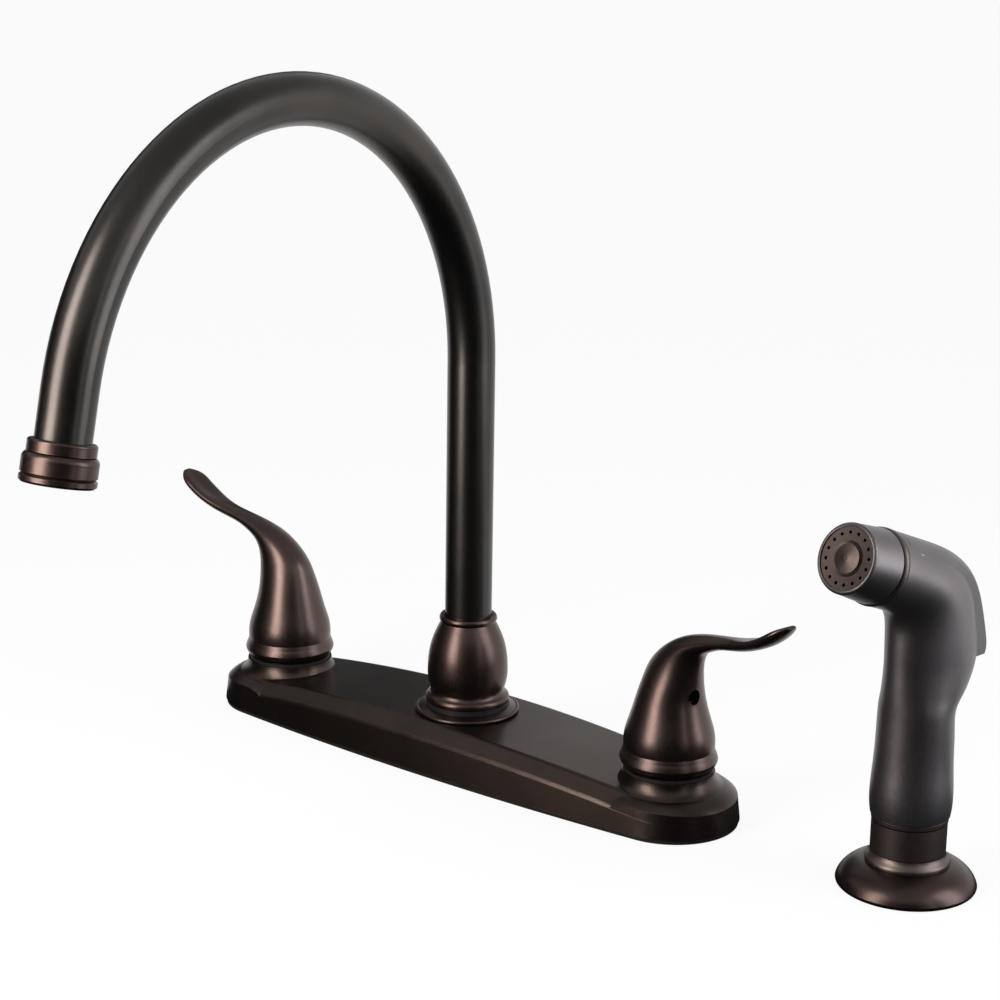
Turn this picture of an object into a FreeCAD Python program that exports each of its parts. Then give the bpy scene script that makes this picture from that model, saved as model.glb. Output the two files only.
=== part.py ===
"""Two handle kitchen faucet on an 8 inch centreset plate, with a gooseneck spout and a side sprayer.

Millimetres. The origin is the middle of the plate's underside, on the deck. +X runs to the cold
handle and the sprayer, -Y towards the person at the sink, +Z up. The levers are drawn shut.
"""
import FreeCAD, Part

import math
import os

V = FreeCAD.Vector

# ---------------------------------------------------------------- driving dimensions
HANDLE_CENTRES = 203.2          # 8 inch standard spacing of the two inlets
HANDLE_X = HANDLE_CENTRES / 2

# Deck plate
PLATE_LENGTH = 260.4
PLATE_WIDTH = 62.4              # at the middle of its bowed sides
PLATE_END_R = 27.0
PLATE_HEIGHT = 20.4             # deck to the highest line of the crowned top
PLATE_CROWN = 9.06              # how far the arched top falls from the middle to each end
PLATE_DRAFT = 6.6               # degrees that the side wall leans in
PLATE_BEVEL = 5.2
PLATE_RIDGE_R = 2.5             # soft edge between wall and bevel
PLATE_WALL = 2.6
GASKET_THICK = 1.6
GASKET_INSET = 0.5
COLLAR_TOP_Z = 20.3
COLLAR_TOP_R = 18.2
COLLAR_FOOT_R = 21.5
COLLAR_FOOT_Z = 14.6
COLLAR_SHOULDER_Z = 6.8         # where the shoulder runs into the plate's end wall
COLLAR_SET_IN = 0.02            # the collars' walls stand a hair inside the plate's

# Waterway under the plate
BODY_FLOOR = GASKET_THICK + 0.4
WATERWAY_R = 5.6
WATERWAY_BORE = 3.8
TOWER_R = 13.5
TOWER_BORE = 9.6
TOWER_ROOM = 2.0                # round each tower, under the plate
POST_R = 12.4
POST_TOP = 44.0
POST_BORE = 7.0
INLET_R = 10.45                 # 1/2-14 straight pipe thread, over the crests
INLET_BORE = 6.3
INLET_LENGTH = 50.0
SUPPLY_THREAD = 18.0            # lower stretch, for the supply line's nut
THREAD_RELIEF = 0.8             # depth of the groove above it
DECK_THICK = 16.0               # a typical sink deck, between gasket and washers
WASHER_R = 19.0
WASHER_THICK = 2.0
NUT_R = 16.0
NUT_THICK = 12.0
NUT_WINGS = 4
NUT_WING_REACH = 7.0
OUTLET_R = 6.6                  # 1/4-18 straight pipe thread for the spray hose
OUTLET_BORE = 3.6
OUTLET_LENGTH = 42.0

# Valves
CARTRIDGE_NECK_R = 7.4
CARTRIDGE_TOP = 33.5
STEM_R = 4.0
SEAL_R = 17.4
SEAL_THICK = 1.3
BONNET_FLANGE_R = 15.0
BONNET_FLANGE_THICK = 2.0
BONNET_HEX = 21.0               # across flats
BONNET_HEX_THICK = 6.0

# Lever handles
HANDLE_LIFT = 0.4               # gap between the seal ring and the handle
HANDLE_LIP_R = 17.3
HANDLE_BEAD_R = 19.1
HANDLE_BEAD_Z = 3.3             # height of the bead's middle above the lip
HANDLE_NECK_Z = 8.0             # height above the lip where the bell begins
HANDLE_WALL = 2.4
HANDLE_REACH = 62.6             # valve axis to the lever's tip
HANDLE_RISE = 72.3              # lip to the top of the tip
SPOON_R = 6.4                   # half the lever's width where it is widest
COLD_TOE = 12.3                 # degrees that each lever is turned to the front
HOT_TOE = 1.0
HANDLE_HUB_R = 7.0
SCREW_R = 2.5
SCREW_MOUTH_R = 3.0
SCREW_Z = 53.0
SCREW_LENGTH = 5.5
SCREW_ROOF = 5.0                # the bell's roof lies this far under the screw

# Spout
TUBE_R = 19.05 / 2              # 3/4 inch tube
TUBE_WALL = 1.4
RISER_TOP = 166.3
ARCH_R = 110.4
ARCH_SWEEP = 167.0              # degrees from the riser to the outlet
OUTLET_STRAIGHT = 16.5          # tube after the arch, down to its end collar
SPOUT_TURN = 3.5                # degrees that the spout stands off the centre line
SPOUT_FOOT = 28.0
SPOUT_STEM_R = 9.4
SHOULDER_R = 11.9
SHOULDER_THICK = 2.2
RING_GROOVES = (33.0, 38.5)     # heights of the two O-rings
RING_WIDTH = 2.2
RING_DEPTH = 1.5
END_COLLAR_R = 11.5
END_COLLAR_LENGTH = 4.5
AERATOR_R = 12.7
AERATOR_LENGTH = 9.9
AERATOR_LIP = 3.0
AERATOR_BORE = 10.0
AERATOR_THREAD = 3.5            # spigot of the end collar inside the housing
AERATOR_WASHER = 1.4
SCREEN_THICK = 0.8
SCREEN_RECESS = 1.5

# Hub
FLANGE_R = 21.4
FLANGE_THICK = 2.2
HUB_SEAL_R = 16.9
HUB_SEAL_THICK = 2.0
HUB_LIP_R = 17.2
HUB_BULGE_R = 16.45
HUB_BEAD_R = 11.8
HUB_HEIGHT = 36.4               # black ring to the top bead
BUSH_THICK = 3.2

# Diverter
DIVERTER_SEAT_BORE = 3.6
DIVERTER_TRAVEL = 2.5
DIVERTER_SEAT_THICK = 3.0

# Side sprayer
SPRAY_X = 203.5                 # the next hole, 4 inches from the cold handle
SPRAY_Y = 7.0
SPRAY_TURN = 10.0               # degrees that the spray face looks left of the front
SPRAY_FLANGE_R = 25.6
SPRAY_FLANGE_HEIGHT = 9.2
GUIDE_LIP_R = 15.6
GUIDE_LIP_HEIGHT = 4.4
GUIDE_SHANK_R = 13.5
GUIDE_SHANK_LENGTH = 45.0
GUIDE_BORE = 11.3
SPIGOT_GAP = 0.3
HOSE_COLLAR_R = 13.75
HOSE_COLLAR_LENGTH = 11.4
HOSE_RING_LENGTH = 2.6
HOSE_NIPPLE_R = 6.6
HOSE_BORE = 4.0
GRIP_R = 14.95
HEAD_TILT = 20.4                # degrees that the spray face looks up
HEAD_REACH = 43.1               # grip axis to the middle of the spray face
HEAD_HEIGHT = 131.3             # middle of the spray face above the deck
HEAD_LENGTH = 14.8
HEAD_FACE_R = 12.6
HEAD_ROOT_R = 13.5
HEAD_RING_LENGTH = 2.4
HEAD_RING_R = 13.8
GROOVE_WIDTH = 0.8
HEAD_STUB_R = 8.0
HEAD_STUB = 3.0                 # how far the stub stands in the grip
HEAD_BORE = 2.5
FACE_R = 11.2
FACE_THICK = 3.0
FACE_RECESS = 0.8
NOZZLE_HOLES = 16
NOZZLE_CIRCLE_R = 9.15
NOZZLE_HOLE_R = 0.65
BUTTON_R = 5.5
BUTTON_HEIGHT = 1.4
LEVER_WIDTH = 17.6
LEVER_DEPTH = 11.5
LEVER_PROUD = 5.7               # most that the lever stands out of the grip's back
LEVER_SKIN = 2.2
LEVER_START = 3.0               # from the head's ring to the lever's front end
LEVER_GAP = 0.45                # each side, in its slot
LEVER_TRAVEL = 4.0              # degrees when pressed
LEVER_BOSS_R = 3.0
PIN_R = 1.5
PIN_BACK = 5.0                  # from the lever's front end back to its pin
PIN_LENGTH = 22.0
PLUNGER_R = 2.6
PLUNGER_LENGTH = 13.0
PLUNGER_FLANGE = 1.6
PLUNGER_TILT = 14.0             # degrees that its inner end points down
CHAMBER_R = 4.1
SPRING_LENGTH = 8.4
SPRING_TURNS = 5
SPRING_WIRE_R = 0.45

# Clearances
RUN_GAP = 0.05                  # radial, between a turning or sliding part and its bore
SEAT_GAP = 0.3                  # between parts that pass close by
EPS = 0.01
OVAL_POINTS = 16


# ---------------------------------------------------------------- shape helpers
def profile(start, *moves):
    """Closed face in the XZ plane. A move is (r, z), an arc (r, z, through r, through z), or a
    list of points that a smooth curve runs through."""
    here = V(start[0], 0, start[1])
    edges = []
    for move in moves + (start,):
        if isinstance(move, list):
            points = [here] + [V(r, 0, z) for r, z in move]
            curve = Part.BSplineCurve()
            curve.interpolate(points)
            edges.append(curve.toShape())
            here = points[-1]
            continue
        there = V(move[0], 0, move[1])
        if (there - here).Length < EPS / 10:
            continue
        if len(move) == 4:
            edges.append(Part.Arc(here, V(move[2], 0, move[3]), there).toShape())
        else:
            edges.append(Part.LineSegment(here, there).toShape())
        here = there
    return Part.Face(Part.Wire(edges))


def turned(start, *moves):
    """Solid of revolution about Z."""
    return profile(start, *moves).revolve(V(0, 0, 0), V(0, 0, 1), 360)


def rod(radius, low, high, x=0.0, y=0.0):
    return Part.makeCylinder(radius, high - low, V(x, y, low))


def tube(radius, bore, low, high, x=0.0, y=0.0):
    return rod(radius, low, high, x, y).cut(rod(bore, low - 1, high + 1, x, y))


def cross_rod(radius, start, end):
    """Cylinder from one point to another."""
    return Part.makeCylinder(radius, (end - start).Length, start, end - start)


def hex_bar(across, low, high):
    corner = across / math.sqrt(3)
    points = [V(corner * math.cos(math.radians(a)), corner * math.sin(math.radians(a)), low)
              for a in range(0, 420, 60)]
    return Part.Face(Part.makePolygon(points)).extrude(V(0, 0, high - low))


def fused(shapes):
    first, rest = shapes[0], shapes[1:]
    return first.fuse(rest).removeSplitter() if rest else first


def moved(shape, x=0.0, y=0.0, z=0.0):
    copy = shape.copy()
    copy.translate(V(x, y, z))
    return copy


def spun(shape, degrees):
    copy = shape.copy()
    copy.rotate(V(0, 0, 0), V(0, 0, 1), degrees)
    return copy


def oval(under, top, half_width, dish=0.0):
    """Ring of points standing in a plane across the XZ plane, from an under to a top point.
    The dish hollows its top side."""
    under, top = V(under[0], 0, under[1]), V(top[0], 0, top[1])
    middle, half = (under + top) * 0.5, (top - under) * 0.5
    up = V(half).normalize()
    points = []
    for i in range(OVAL_POINTS):
        a = 2 * math.pi * i / OVAL_POINTS
        hollow = dish * max(0.0, math.cos(a)) ** 3
        points.append(middle + half * math.cos(a) - up * hollow + V(0, half_width * math.sin(a), 0))
    return points


def bent_body(stations):
    """Smooth solid through ovals that turn along a bend."""
    around = list(range(OVAL_POINTS + 1))
    along = [0.0]
    rings = []
    for i, station in enumerate(stations):
        ring = Part.BSplineCurve()
        ring.interpolate(Points=oval(*station), PeriodicFlag=True, Parameters=around)
        rings.append(ring)
        if i:
            here, before = [(V(s[0][0], 0, s[0][1]) + V(s[1][0], 0, s[1][1])) * 0.5
                            for s in (station, stations[i - 1])]
            along.append(along[-1] + (here - before).Length)
    rows = []
    for poles in zip(*[ring.getPoles() for ring in rings]):
        row = Part.BSplineCurve()
        row.interpolate(Points=list(poles), Parameters=along)
        rows.append(row)
    side = Part.BSplineSurface()
    side.buildFromPolesMultsKnots([row.getPoles() for row in rows],
                                  rings[0].getMultiplicities(), rows[0].getMultiplicities(),
                                  rings[0].getKnots(), rows[0].getKnots(),
                                  True, False, rings[0].Degree, rows[0].Degree)
    ends = [Part.Face(Part.Wire(ring.toShape())) for ring in (rings[0], rings[-1])]
    shell = Part.makeShell([side.toShape()] + ends)
    shell.sewShape()
    solid = Part.makeSolid(shell)
    if solid.Volume < 0:
        solid.reverse()
    return solid


# ---------------------------------------------------------------- deck plate
def plate_outline(inset, z):
    """Two round ends and two bowed sides, tangent to each other."""
    end_r = PLATE_END_R - inset
    end_x = PLATE_LENGTH / 2 - PLATE_END_R
    half = PLATE_WIDTH / 2 - inset
    rise = half - end_r
    side_r = (end_x ** 2 + rise ** 2) / (2 * rise) + end_r
    lean = math.asin(end_x / (side_r - end_r))
    touch = V(end_x + end_r * math.sin(lean), end_r * math.cos(lean), z)
    corners = [V(touch.x * sx, touch.y * sy, z) for sx, sy in ((1, 1), (-1, 1), (-1, -1), (1, -1))]
    middles = [V(0, half, z), V(-end_x - end_r, 0, z), V(0, -half, z), V(end_x + end_r, 0, z)]
    edges = [Part.Arc(corners[i], middles[i], corners[(i + 1) % 4]).toShape() for i in range(4)]
    return Part.Wire(edges)


def plate_walls(inset, low, high):
    """The drafted wall, carried up past the top."""
    lean = math.tan(math.radians(PLATE_DRAFT))
    return Part.makeLoft([plate_outline(inset + (z - GASKET_THICK) * lean, z) for z in (low, high)],
                         True, True)


def crowned(drop):
    """Everything under the arched top."""
    top = PLATE_HEIGHT - drop
    radius = ((PLATE_LENGTH / 2) ** 2 + PLATE_CROWN ** 2) / (2 * PLATE_CROWN) - drop
    barrel = Part.makeCylinder(radius, 2 * PLATE_WIDTH, V(0, PLATE_WIDTH, top - radius), V(0, -1, 0))
    return barrel


def plate_block(inset, low):
    """Crowned block with its bevelled edge; the inset makes the hollow under it."""
    block = plate_walls(inset, low, PLATE_HEIGHT + 2).common(crowned(inset))
    top = [f for f in block.Faces if f.BoundBox.ZMax > PLATE_HEIGHT - inset - EPS
           and f.BoundBox.XLength > PLATE_LENGTH / 2 and f.BoundBox.YLength > PLATE_WIDTH / 2]
    block = block.makeChamfer(PLATE_BEVEL, top[0].Edges)
    if inset:
        return block
    ridge = [e for e in block.Edges if e.Length > 4 * PLATE_BEVEL
             and low + 1 < e.BoundBox.ZMin and e.BoundBox.ZMax < PLATE_HEIGHT - PLATE_BEVEL / 2]
    return block.makeFillet(PLATE_RIDGE_R, ridge)


def collar_block():
    """Round the end of the plate and flare up to the handle."""
    wall_r = PLATE_LENGTH / 2 - HANDLE_X + 1
    shoulder_r = COLLAR_FOOT_R + 0.63 * (wall_r - COLLAR_FOOT_R)
    shoulder_z = COLLAR_FOOT_Z - 0.38 * (COLLAR_FOOT_Z - COLLAR_SHOULDER_Z)
    flare_r = COLLAR_TOP_R + 0.33 * (COLLAR_FOOT_R - COLLAR_TOP_R)
    flare_z = COLLAR_FOOT_Z + 0.386 * (COLLAR_TOP_Z - COLLAR_FOOT_Z)
    return turned((0, GASKET_THICK), (wall_r, GASKET_THICK), (wall_r, COLLAR_SHOULDER_Z),
                  (COLLAR_FOOT_R, COLLAR_FOOT_Z, shoulder_r, shoulder_z),
                  (COLLAR_TOP_R, COLLAR_TOP_Z, flare_r, flare_z), (0, COLLAR_TOP_Z))


def deck_plate():
    outer = plate_block(0.0, GASKET_THICK)
    walls = plate_walls(COLLAR_SET_IN, GASKET_THICK, PLATE_HEIGHT + 2)
    collars = [moved(collar_block(), x).common(walls) for x in (-HANDLE_X, HANDLE_X)]
    hollow = plate_block(PLATE_WALL, GASKET_THICK - 1)
    tower_room = rod(TOWER_R + TOWER_ROOM, GASKET_THICK - 1, tower_top())
    holes = [rod(POST_R + SEAT_GAP, 0, PLATE_HEIGHT + 1)]
    for x in (-HANDLE_X, HANDLE_X):
        holes.append(moved(tower_room, x))
        holes.append(rod(bonnet_sleeve_r() + SEAT_GAP, 0, COLLAR_TOP_Z + 1, x))
    return fused([outer] + collars).cut(fused([hollow] + holes))


def base_gasket():
    pad = Part.Face(plate_outline(GASKET_INSET, 0)).extrude(V(0, 0, GASKET_THICK))
    holes = [rod(OUTLET_R + 2 * SEAT_GAP, -1, GASKET_THICK + 1)]
    holes += [rod(INLET_R + 2 * SEAT_GAP, -1, GASKET_THICK + 1, x) for x in (-HANDLE_X, HANDLE_X)]
    return pad.cut(fused(holes))


# ---------------------------------------------------------------- waterway
def tower_top():
    return COLLAR_TOP_Z - PLATE_WALL - SEAT_GAP


def bonnet_sleeve_r():
    return TOWER_R - 1.0


def valve_body():
    """Brass casting: spout post, two valve towers and the tubes between them."""
    axis_z = BODY_FLOOR + WATERWAY_R
    post = rod(POST_R, BODY_FLOOR, POST_TOP)
    towers = [rod(TOWER_R, BODY_FLOOR, tower_top(), x) for x in (-HANDLE_X, HANDLE_X)]
    run = cross_rod(WATERWAY_R, V(-HANDLE_X, 0, axis_z), V(HANDLE_X, 0, axis_z))
    solid = fused([post, run] + towers)
    bores = [cross_rod(WATERWAY_BORE, V(-HANDLE_X, 0, axis_z), V(HANDLE_X, 0, axis_z)),
             rod(SPOUT_STEM_R + RUN_GAP, SPOUT_FOOT - SEAT_GAP, POST_TOP + 1),
             rod(POST_BORE, axis_z, SPOUT_FOOT), rod(OUTLET_BORE, 0, axis_z)]
    for x in (-HANDLE_X, HANDLE_X):
        bores += [rod(TOWER_BORE, cartridge_foot(), tower_top() + 1, x), rod(INLET_BORE, 0, axis_z, x)]
    return solid.cut(fused(bores))


def cartridge_foot():
    return BODY_FLOOR + WATERWAY_R


def inlet_shank(x):
    """Threaded shank; a groove parts the deck nut's thread from the supply line's."""
    relief_z = SUPPLY_THREAD - INLET_LENGTH
    groove = tube(INLET_R + 1, INLET_R - THREAD_RELIEF, relief_z, relief_z + 1.5 * THREAD_RELIEF, x)
    return tube(INLET_R, INLET_BORE, -INLET_LENGTH, BODY_FLOOR, x).cut(groove)


def spray_outlet():
    """Plain neck through the deck, then the spray hose's thread."""
    neck_z = SUPPLY_THREAD - OUTLET_LENGTH
    outside = fused([rod(OUTLET_R, -OUTLET_LENGTH, neck_z),
                     rod(OUTLET_R - THREAD_RELIEF, neck_z, BODY_FLOOR)])
    return outside.cut(rod(OUTLET_BORE, -OUTLET_LENGTH - 1, BODY_FLOOR + 1))


def washer(x, bore, y=0.0):
    return tube(WASHER_R, bore + SEAT_GAP, -DECK_THICK - WASHER_THICK, -DECK_THICK, x, y)


def mounting_nut(x, bore, y=0.0):
    """Winged hand nut under the deck."""
    top = -DECK_THICK - WASHER_THICK
    body = rod(NUT_R, top - NUT_THICK, top)
    wings = []
    for i in range(NUT_WINGS):
        wing = Part.makeBox(NUT_R + NUT_WING_REACH, 4, NUT_THICK * 0.75, V(0, -2, top - NUT_THICK))
        wings.append(spun(wing, 45 + i * 360 / NUT_WINGS))
    nut = fused([body] + wings).cut(rod(bore + SEAT_GAP / 2, top - NUT_THICK - 1, top + 1))
    return moved(nut, x, y)


# ---------------------------------------------------------------- valves
def cartridge():
    """Quarter turn cartridge; its neck guides the stem."""
    foot, shoulder = cartridge_foot(), tower_top()
    solid = turned((0, foot), (TOWER_BORE, foot), (TOWER_BORE, shoulder), (CARTRIDGE_NECK_R, shoulder),
                   (CARTRIDGE_NECK_R, CARTRIDGE_TOP), (0, CARTRIDGE_TOP))
    port = rod(INLET_BORE - 2, foot - 1, stem_foot() - 2)
    return solid.cut(fused([port, rod(STEM_R + RUN_GAP, stem_foot() - RUN_GAP, CARTRIDGE_TOP + 1)]))


def stem_foot():
    return tower_top() + 2.0


def collar_seal():
    return tube(SEAL_R, bonnet_sleeve_r() + SEAT_GAP, COLLAR_TOP_Z, COLLAR_TOP_Z + SEAL_THICK)


def bonnet_nut():
    """Clamps the cartridge and, through the seal ring, the plate's collar."""
    seat = COLLAR_TOP_Z + SEAL_THICK
    flange_top = seat + BONNET_FLANGE_THICK
    solid = fused([rod(bonnet_sleeve_r(), tower_top(), seat), rod(BONNET_FLANGE_R, seat, flange_top),
                   hex_bar(BONNET_HEX, flange_top, flange_top + BONNET_HEX_THICK)])
    return solid.cut(rod(CARTRIDGE_NECK_R + RUN_GAP, 0, CARTRIDGE_TOP))


# ---------------------------------------------------------------- lever handles
def handle_lip_z():
    return COLLAR_TOP_Z + SEAL_THICK + HANDLE_LIFT


def handle_stations():
    """Under point, top point, half width and dish of each oval, from the bell out to the tip."""
    lip = handle_lip_z()
    neck = HANDLE_NECK_Z / HANDLE_RISE
    # radii and widths are shares of the bead's radius here, heights shares of the rise
    bell = [(0.916, neck - 0.0277), (0.927, neck), (0.906, 0.1936), (0.838, 0.2559), (0.764, 0.3209)]
    throat = [((0.7068, 0.3873), (-0.6859, 0.3942), 0.696),
              ((0.6963, 0.4703), (-0.5759, 0.4910), 0.602),
              ((0.7225, 0.5533), (-0.4293, 0.5809), 0.513),
              ((0.7749, 0.6196), (-0.1571, 0.6611), 0.440),
              ((0.8901, 0.6722), (0.2094, 0.7275), 0.377)]
    # and here reaches are shares of the lever's, widths of the spoon's
    blade = [((0.3435, 0.7109), (0.2236, 0.7801), 0.906, 0.000),
             ((0.4553, 0.7483), (0.4313, 0.8174), 0.734, 0.000),
             ((0.6310, 0.7828), (0.6118, 0.8562), 0.781, 0.141),
             ((0.7668, 0.8257), (0.7316, 0.8990), 0.938, 0.281),
             ((0.8818, 0.8811), (0.8339, 0.9488), 1.000, 0.297),
             ((0.9649, 0.9461), (0.9249, 0.9889), 0.812, 0.156),
             ((1.0000, 0.9834), (0.9840, 1.0000), 0.312, 0.000)]
    stations = [((r * HANDLE_BEAD_R, lip + z * HANDLE_RISE), (-r * HANDLE_BEAD_R, lip + z * HANDLE_RISE),
                 r * HANDLE_BEAD_R) for r, z in bell]
    for under, top, width in throat:
        stations.append(((under[0] * HANDLE_BEAD_R, lip + under[1] * HANDLE_RISE),
                         (top[0] * HANDLE_BEAD_R, lip + top[1] * HANDLE_RISE), width * HANDLE_BEAD_R))
    for under, top, width, dish in blade:
        stations.append(((under[0] * HANDLE_REACH, lip + under[1] * HANDLE_RISE),
                         (top[0] * HANDLE_REACH, lip + top[1] * HANDLE_RISE),
                         width * SPOON_R, dish * SPOON_R))
    return stations


def handle_base():
    """The bead and cove at the bell's foot."""
    lip = handle_lip_z()
    bead = lip + HANDLE_BEAD_Z
    neck = lip + HANDLE_NECK_Z
    neck_r = handle_stations()[1][2]
    cove = bead + 2.6
    return turned((0, lip), (HANDLE_LIP_R, lip),
                  (HANDLE_BEAD_R, bead, HANDLE_BEAD_R - 0.7, bead - 1.9),
                  (neck_r + 0.5, cove, HANDLE_BEAD_R - 0.4, bead + 1.5),
                  (neck_r - 0.4, neck + 0.4, neck_r + 0.1, cove + 1.3),
                  (0, neck + 0.4))


def handle_hollow():
    """Room inside the bell for the bonnet nut, round the hub that takes the stem."""
    lip = handle_lip_z()
    wide = HANDLE_LIP_R - HANDLE_WALL / 2
    roof = SCREW_Z - SCREW_ROOF
    room = turned((0, lip - 1), (wide, lip - 1), (wide, lip + 0.166 * HANDLE_RISE),
                  (0.717 * HANDLE_LIP_R, roof - 2), (0.636 * HANDLE_LIP_R, roof), (0, roof))
    return room.cut(rod(HANDLE_HUB_R, CARTRIDGE_TOP + SEAT_GAP * 2, roof + 1))


def lever_handle():
    """Bell, neck and spoon-ended lever along +X."""
    solid = fused([handle_base(), bent_body(handle_stations())])
    screw_hole = cross_rod(SCREW_R, V(0, 0, SCREW_Z), V(HANDLE_BEAD_R, 0, SCREW_Z))
    mouth = cross_rod(SCREW_MOUTH_R, V(STEM_R + SCREW_LENGTH + 1, 0, SCREW_Z),
                      V(HANDLE_BEAD_R, 0, SCREW_Z))
    return solid.cut(fused([handle_hollow(), rod(STEM_R, 0, stem_top()), screw_hole, mouth]))


def stem_top():
    return SCREW_Z + SCREW_R + 2.0


def stem():
    return rod(STEM_R, stem_foot(), stem_top())


def set_screw():
    """Headless screw with a hexagon socket, tight on the stem."""
    screw = cross_rod(SCREW_R, V(STEM_R, 0, SCREW_Z), V(STEM_R + SCREW_LENGTH, 0, SCREW_Z))
    socket = hex_bar(SCREW_R, 0, 3.0)
    socket.rotate(V(0, 0, 0), V(0, 1, 0), 90)
    screw = screw.cut(moved(socket, STEM_R + SCREW_LENGTH - 2.0, 0, SCREW_Z))
    return screw.cut(rod(STEM_R, 0, stem_top() + 5))


def on_valve(shape, side):
    """Place a part of the cold valve (side 1) or the hot valve (side -1), lever outwards."""
    turn = -COLD_TOE if side > 0 else 180 + HOT_TOE
    return moved(spun(shape, turn), side * HANDLE_X)


# ---------------------------------------------------------------- hub
def flange_top():
    return PLATE_HEIGHT + FLANGE_THICK


def hub_foot():
    return flange_top() + HUB_SEAL_THICK


def spout_flange():
    low, high = PLATE_HEIGHT, flange_top()
    return turned((POST_R + SEAT_GAP, low), (FLANGE_R - 0.4, low),
                  (FLANGE_R - 1.2, low + 1.4, FLANGE_R, low + 0.8), (HUB_SEAL_R + 0.6, high),
                  (POST_R + SEAT_GAP, high))


def hub_seal():
    return tube(HUB_SEAL_R, POST_R + SEAT_GAP, flange_top(), hub_foot())


def spout_hub():
    """Vase-shaped nut that holds the spout down on its post."""
    foot = hub_foot()
    top = foot + HUB_HEIGHT
    bead = foot + 0.926 * HUB_HEIGHT
    vase = [(0.924, 0.132), (0.957, 0.203), (1.0, 0.390), (0.9635, 0.574), (0.9027, 0.692),
            (0.8055, 0.808)]
    body = turned((0, foot), (0.971 * HUB_LIP_R, foot),
                  (0.965 * HUB_LIP_R, foot + 0.077 * HUB_HEIGHT, HUB_LIP_R, foot + 0.038 * HUB_HEIGHT),
                  [(r * HUB_BULGE_R, foot + h * HUB_HEIGHT) for r, h in vase]
                  + [(0.941 * HUB_BEAD_R, bead)],
                  (0.958 * HUB_BEAD_R, top, HUB_BEAD_R, (bead + top) / 2), (0, top))
    roof = shoulder_top() + 2 * SEAT_GAP + BUSH_THICK
    inside = [rod(POST_R + SEAT_GAP, foot - 1, roof), rod(TUBE_R + SEAT_GAP, roof - 1, top + 1)]
    return body.cut(fused(inside))


def shoulder_top():
    return POST_TOP + SEAT_GAP + SHOULDER_THICK


def hub_bush():
    """Plastic bush that the tube turns in, under the hub's roof."""
    low = shoulder_top() + 2 * SEAT_GAP
    return tube(POST_R + SEAT_GAP, TUBE_R + RUN_GAP, low, low + BUSH_THICK)


# ---------------------------------------------------------------- spout
def spout_path(start_z):
    """Riser, arch and outlet straight, in the YZ plane."""
    centre = V(0, -ARCH_R, RISER_TOP)

    def on_arch(degrees):
        a = math.radians(degrees)
        return centre + V(0, ARCH_R * math.cos(a), ARCH_R * math.sin(a))

    riser = Part.LineSegment(V(0, 0, start_z), on_arch(0)).toShape()
    arch = Part.Arc(on_arch(0), on_arch(ARCH_SWEEP / 2), on_arch(ARCH_SWEEP)).toShape()
    outlet = Part.LineSegment(on_arch(ARCH_SWEEP), at_outlet_point(tube_end())).toShape()
    return Part.Wire([riser, arch, outlet])


def tube_end():
    return OUTLET_STRAIGHT + END_COLLAR_LENGTH / 2


def outlet_direction():
    a = math.radians(ARCH_SWEEP)
    return V(0, -math.sin(a), math.cos(a))


def at_outlet_point(distance):
    """A point on the outlet's axis, this far after the arch."""
    a = math.radians(ARCH_SWEEP)
    end = V(0, -ARCH_R + ARCH_R * math.cos(a), RISER_TOP + ARCH_R * math.sin(a))
    return end + outlet_direction() * distance


def swept(radius, start_z):
    path = spout_path(start_z)
    ring = Part.Wire(Part.makeCircle(radius, V(0, 0, start_z), V(0, 0, 1)))
    return path.makePipeShell([ring], True, False)


def facing_front(shape):
    """Turn a part of the spout to where the spout stands."""
    return spun(shape, SPOUT_TURN)


def spout_tube():
    foot = shoulder_top()
    return facing_front(swept(TUBE_R, foot).cut(swept(TUBE_R - TUBE_WALL, foot)))


def spout_stem():
    """Brass end of the tube, with its thrust shoulder and O-ring grooves."""
    low = POST_TOP + SEAT_GAP
    solid = fused([rod(SPOUT_STEM_R, SPOUT_FOOT, low), rod(SHOULDER_R, low, shoulder_top()),
                   rod(TUBE_R - TUBE_WALL, shoulder_top(), shoulder_top() + 8)])
    cuts = [rod(SPOUT_STEM_R - 3, SPOUT_FOOT - 1, shoulder_top() + 9)]
    cuts += [tube(SPOUT_STEM_R + 1, SPOUT_STEM_R - RING_DEPTH, z, z + RING_WIDTH)
             for z in RING_GROOVES]
    return facing_front(solid.cut(fused(cuts)))


def spout_o_rings():
    rings = [tube(SPOUT_STEM_R, SPOUT_STEM_R - RING_DEPTH, z, z + RING_WIDTH) for z in RING_GROOVES]
    return facing_front(Part.makeCompound(rings))


def at_outlet(shape):
    """Stand a part, drawn with its flow along +Z, on the end of the arch."""
    copy = shape.copy()
    tilt = FreeCAD.Rotation(V(0, 0, 1), outlet_direction())
    copy.Placement = FreeCAD.Placement(at_outlet_point(0), tilt).multiply(copy.Placement)
    return facing_front(copy)


def aerator_start():
    return OUTLET_STRAIGHT + END_COLLAR_LENGTH


def spout_end_collar():
    """Ring brazed on the tube, with the thread for the aerator inside the housing."""
    low, high = OUTLET_STRAIGHT, aerator_start()
    ring = turned((0, low), (TUBE_R + 0.5, low), (END_COLLAR_R, low + 1.2, END_COLLAR_R - 0.3, low + 0.2),
                  (END_COLLAR_R, high - 0.4), (END_COLLAR_R - 0.5, high), (AERATOR_BORE, high),
                  (AERATOR_BORE, high + AERATOR_THREAD), (0, high + AERATOR_THREAD))
    seat = rod(TUBE_R, low - 1, tube_end())
    return at_outlet(ring.cut(fused([seat, rod(TUBE_R - TUBE_WALL, low - 1, high + 6)])))


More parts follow.
